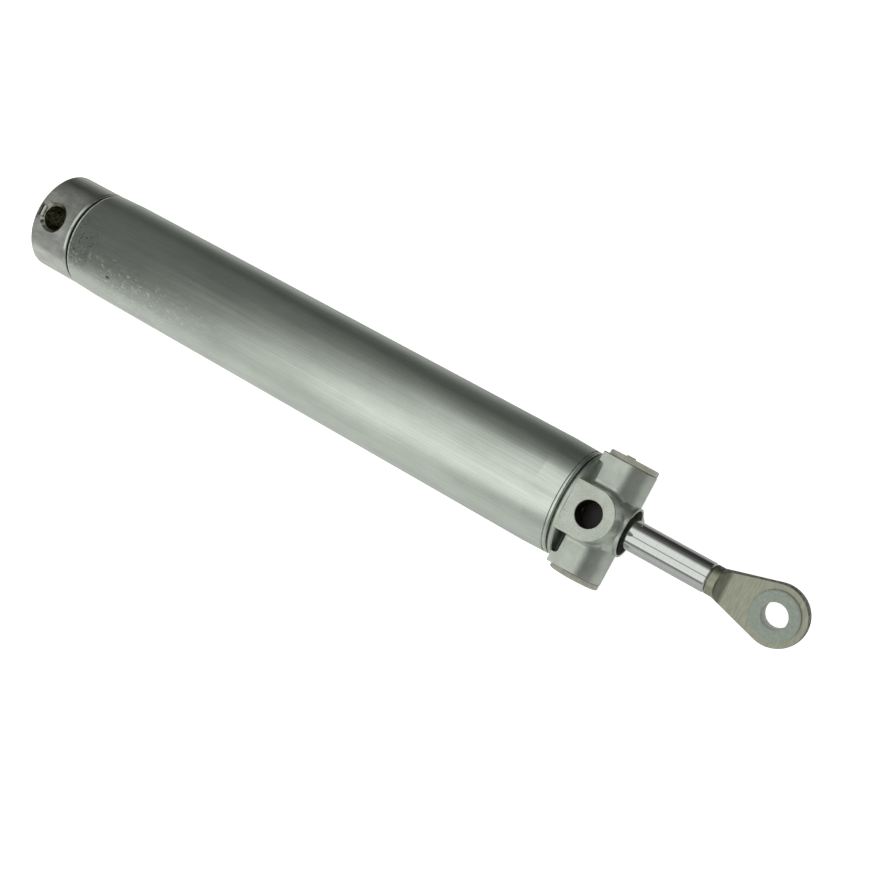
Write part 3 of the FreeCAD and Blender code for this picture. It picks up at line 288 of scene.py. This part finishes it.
# Painted shade: the core slots beside the flange are painted dark, darker on the -Y side than on the +Y side.
in_slot = multiply(
    tree,
    between(tree, place_x, flange_front, flange_front + 0.1, 0, 1),
    between(tree, place_x, slot_front, slot_front + 0.15, 1, 0),
    between(tree, calculate(tree, "ABSOLUTE", place_z), slot_half_height, slot_half_height + 0.15, 1, 0),
    between(tree, calculate(tree, "ABSOLUTE", place_y), slot_outer_end, slot_outer_end + 0.1, 1, 0),
)
slot_shade = multiply(tree, in_slot, between(tree, place_y, -1, 1, 0.8, 0.35))
metal = blend_colours(tree, slot_shade, metal, linear("#23251F"))
tree.links.new(metal, shader.inputs["Base Color"])
tree.links.new(calculate(tree, "SUBTRACT", 1.0, hole), shader.inputs["Metallic"])
height = multiply(tree, grain, between(tree, milled, 0, 1, 1, 0.15))
height = calculate(tree, "SUBTRACT", height, multiply(tree, pore, milled, 2))
set_bump(tree, shader, height, 0.03)
finish_nodes(cast, "head_casting")

# Rings, washers and nut
# Plain steel, dull and dark, seen only as thin lines where the head meets the tube.


def mottled_material(name, metallic, roughness, spacing, detail, dark, light, depth):
    """A material with one soft mottle in its colour and its relief."""
    material, tree, shader, place = start_material(name, metallic, roughness)
    mottle = noise(tree, place, (spacing, spacing, spacing), detail)
    tree.links.new(shade_between(tree, mottle, 0.3, 0.7, dark, light), shader.inputs["Base Color"])
    set_bump(tree, shader, mottle, depth)
    return material


plain = mottled_material("plain_steel", 1.0, 0.45, 1.5, 3, "#4C4D48", "#6A6B64", 0.01)
finish_nodes(plain, "head_spacer_ring", "seal_washer", "seal_retainer", "piston_nut")

# Trunnion bushes
# Moulded in a pale filled nylon, pressed into the arms, with a flange that spaces the linkage off.


def moulded_material(name, spacing, dark, light, smoothest, roughest, grain_size, depth):
    """A hard plastic with a mottle in its colour and sheen, and a finer moulded grain."""
    material, tree, shader, place = start_material(name, 0.0, roughest)
    mottle = noise(tree, place, (spacing, spacing, spacing), 4)
    tree.links.new(shade_between(tree, mottle, 0.3, 0.7, dark, light), shader.inputs["Base Color"])
    tree.links.new(between(tree, mottle, 0.3, 0.7, smoothest, roughest), shader.inputs["Roughness"])
    set_bump(tree, shader, noise(tree, place, (grain_size, grain_size, grain_size), 2), depth)
    return material


nylon = moulded_material("filled_nylon", 1.2, "#A6A598", "#BEBDAF", 0.42, 0.58, 0.25, 0.008)
finish_nodes(nylon, "trunnion_bush_left", "trunnion_bush_right")

# Rod
# Ground steel with hard chrome, polished until it mirrors the room in long black and white streaks.
chrome, tree, shader, place = start_material("hard_chrome", 1.0, 0.06)
polish = noise(tree, place, (0.4, 6, 6), 3)
metal = shade_between(tree, polish, 0.3, 0.7, "#DBDDDB", "#E4E6E4")
tree.links.new(metal, shader.inputs["Base Color"])
tree.links.new(between(tree, polish, 0.3, 0.7, 0.03, 0.06), shader.inputs["Roughness"])
set_bump(tree, shader, polish, 0.0004, turned_normal(tree, place))
finish_nodes(chrome, "piston_rod")

# Rod eye
# Steel, turned at its neck, milled flat on both sides and thinly zinc plated, with a brownish cast. Its
# narrow side walls and the sides of its neck are darker in patches.
eye_axis = (0, -0.190809, 0.981627)
eye_half_thickness = 2.15
plated, tree, shader, place = start_material("plated_steel", 1.0, 0.4)
tool_marks = noise(tree, place, (0.25, 4, 4), 3, 0.6)
clouds = noise(tree, place, (2.5, 2.5, 2.5), 3, 0.5)
shade = mix(tree, tool_marks, 0.7, clouds)
metal = shade_between(tree, shade, 0.3, 0.7, "#9C9D8C", "#CDCEBB")
off_middle = calculate(tree, "ABSOLUTE", vector(tree, "DOT_PRODUCT", {0: place, 1: eye_axis}, "Value"))
side_wall = between(tree, off_middle, eye_half_thickness - 0.4, eye_half_thickness - 0.1, 1, 0)
patchy = between(tree, noise(tree, place, (0.9, 0.9, 0.9), 4, 0.6), 0.34, 0.6, 0, 0.95)
metal = blend_colours(tree, multiply(tree, side_wall, patchy), metal, linear("#524E42"))
tree.links.new(metal, shader.inputs["Base Color"])
tree.links.new(between(tree, clouds, 0.3, 0.7, 0.38, 0.48), shader.inputs["Roughness"])
set_bump(tree, shader, shade, 0.012)
finish_nodes(plated, "rod_eye")

# Bush halves in the eye
# Moulded grey plastic with a rounded flange, one pressed in from each side.
acetal = moulded_material("grey_acetal", 1, "#98A297", "#AFB8AC", 0.36, 0.5, 0.2, 0.006)
finish_nodes(acetal, "eye_bush_upper", "eye_bush_lower")

# Seals and wiper
# Black nitrile and polyurethane, matt, with a faint moulded grain. Only the wiper shows, deep in the collar.
nitrile = mottled_material("black_nitrile", 0.0, 0.65, 0.3, 3, "#050505", "#0B0B0A", 0.01)
nitrile.node_tree.nodes["Principled BSDF"].inputs["Specular IOR Level"].default_value = 0.12
finish_nodes(nitrile, "cap_o_ring", "head_o_ring", "rod_seal", "rod_wiper")
finish_nodes(nitrile, "piston_seal_rear", "piston_seal_front", "piston_o_ring")

# Backup rings and guide ring
# Off-white filled fluoropolymer, waxy, machined from tube. They are shut in with the seals.
polymer = mottled_material("filled_fluoropolymer", 0.0, 0.45, 0.8, 3, "#C9C5B2", "#D8D4C4", 0.006)
finish_nodes(polymer, "cap_backup_ring", "head_backup_ring", "piston_guide_ring")

# Guide bush
# Rolled bearing bronze, dull gold, pressed into the head's inner end to carry the rod.
bronze = mottled_material("bearing_bronze", 1.0, 0.35, 0.6, 4, "#9C7A45", "#B5935C", 0.006)
finish_nodes(bronze, "rod_guide_bush")

# Floor
# A plain white light table, just under the tube and the lower boss. Polished metal sees a grey one in its
# place, lighter on the near side, so that the edges of the object stay dark against the white.
white_table_height = -0.01802
grey_table_height = -0.01804
table_reach = 4


def lay_table(name, height, material, seen_by_metal):
    """A wide flat sheet, either for the eye and soft light or for mirror reflections only."""
    mesh = bpy.data.meshes.new(name)
    corners = [(x * table_reach, y * table_reach, height) for x, y in ((-1, -1), (1, -1), (1, 1), (-1, 1))]
    mesh.from_pydata(corners, [], [(0, 1, 2, 3)])
    sheet = bpy.data.objects.new(name, mesh)
    bpy.context.collection.objects.link(sheet)
    mesh.materials.append(material)
    sheet.visible_glossy = seen_by_metal
    sheet.visible_camera = not seen_by_metal
    sheet.visible_diffuse = not seen_by_metal
    sheet.visible_shadow = not seen_by_metal


white, _, shader, _ = start_material("light_table", 0.0, 0.8)
shader.inputs["Base Color"].default_value = linear("#F8F8F7")
shader.inputs["Emission Color"].default_value = linear("#FFFFFF")
shader.inputs["Emission Strength"].default_value = 0.85
lay_table("light_table", white_table_height, white, False)

grey, tree, shader, place = start_material("grey_table", 0.0, 1.0)
place_x, place_y = split(tree, place)[:2]
far_shine = between(tree, place_y, 40, 120, 0.14, 0.05)
far_shine = multiply(tree, far_shine, between(tree, place_x, 150, 230, 1, 0.28))
shine = calculate(tree, "ADD", between(tree, place_y, 15, 57, 0.48, 0), far_shine)
shine = multiply(tree, shine, between(tree, place_x, 180, 240, 1, 0.95))
shader.inputs["Base Color"].default_value = linear("#000000")
shader.inputs["Emission Color"].default_value = linear("#F8FAF7")
tree.links.new(shine, shader.inputs["Emission Strength"])
lay_table("grey_table", grey_table_height, grey, True)

# Light
# The room is a large soft sky over the head and the near side. It ends at a slanting edge over the tube, so
# the cap stays in half shade, and the far side is dark. Two dark stripes show in the rod, and light low
# behind the cap shows in its lips. The lamp overhead lights only the dull surfaces.
world = bpy.data.worlds.new("studio")
world.use_nodes = True
room = world.node_tree
sky = room.nodes["Background"]
sky.inputs[0].default_value = linear("#F8FAF7")
direction = add_node(room, "ShaderNodeTexCoord", {}, {}).outputs["Generated"]
along, across = split(room, direction)[:2]

near_horizon = between(room, across, -0.9, -0.6, 0.25, 0)
far_horizon = between(room, across, 0.9, 0.98, 0.13, 0.02)
dim = calculate(room, "ADD", near_horizon, far_horizon)

glow = between(room, across, -0.95, -0.55, 0.15, 1.1)
glow = calculate(room, "MINIMUM", glow, between(room, across, -0.6, -0.1, 1.15, 0.82))
glow = calculate(room, "MINIMUM", glow, between(room, across, 0.62, 0.84, 0.8, 0.02))
edge = between(room, across, -0.4, 0.9, -0.506, -0.34)
near_blur = between(room, across, -0.85, -0.4, 0.12, 0.035)
far_blur = between(room, across, -0.35, 0, 0.035, 0.12)
blur = calculate(room, "MAXIMUM", near_blur, far_blur)
inward = calculate(room, "DIVIDE", calculate(room, "SUBTRACT", along, edge), blur)
past_edge = between(room, inward, -1, 1, 0, 1)
before_end = between(room, along, 0.05, 0.3, 1, 0)
glow = multiply(room, glow, past_edge, before_end)

total = calculate(room, "ADD", dim, glow)
total = calculate(room, "ADD", total, between(room, along, 0.5, 0.75, 0, 0.15))
total = calculate(room, "ADD", total, between(room, along, -0.85, -0.72, 0.6, 0))
over_rod = between(room, along, -0.42, -0.3, 0, 1)
for middle, core, half_width, taken in ((-0.07, 0.02, 0.08, 0.75), (-0.84, 0.05, 0.09, 0.65)):
    off_stripe = calculate(room, "ABSOLUTE", calculate(room, "SUBTRACT", across, middle))
    dark = multiply(room, between(room, off_stripe, core, half_width, taken, 0), over_rod)
    total = multiply(room, total, calculate(room, "SUBTRACT", 1.0, dark))
room.links.new(total, sky.inputs[1])
bpy.context.scene.world = world
bpy.context.scene.view_settings.view_transform = "Standard"

ceiling = bpy.data.lights.new("ceiling", "AREA")
ceiling.shape = "SQUARE"
ceiling.size = 1.0
ceiling.energy = 4.0
ceiling_holder = bpy.data.objects.new("ceiling", ceiling)
ceiling_holder.location = (0.25, -0.15, 1.2)
ceiling_holder.visible_glossy = False
bpy.context.collection.objects.link(ceiling_holder)
